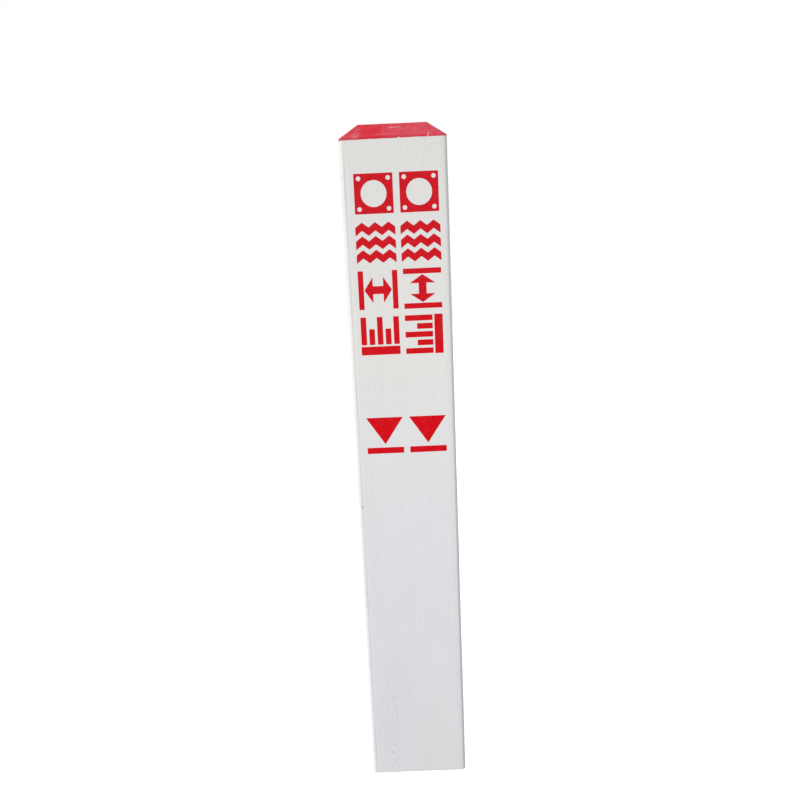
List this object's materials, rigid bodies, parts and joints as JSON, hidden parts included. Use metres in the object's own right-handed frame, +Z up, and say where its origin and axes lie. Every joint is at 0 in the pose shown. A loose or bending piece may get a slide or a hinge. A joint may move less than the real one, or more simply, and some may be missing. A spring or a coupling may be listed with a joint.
{
  "type": "utility marker post",
  "caption": "Square cast marker post with a low sloping red head, set in the ground to show where a buried line runs.",
  "frame": {"origin": "centre of the foot's underside, where the post stands", "axes": "+Z up the post to the flat crown; -Y out of the marked front face; +X to the right as one faces that face"},
  "size_m": [0.15, 0.15, 1],
  "materials": {
    "white_paint": "matte",
    "red_paint": "satin"
  },
  "bodies": {
    "root": {"post": "white_paint"}
  },
  "joints": []
}
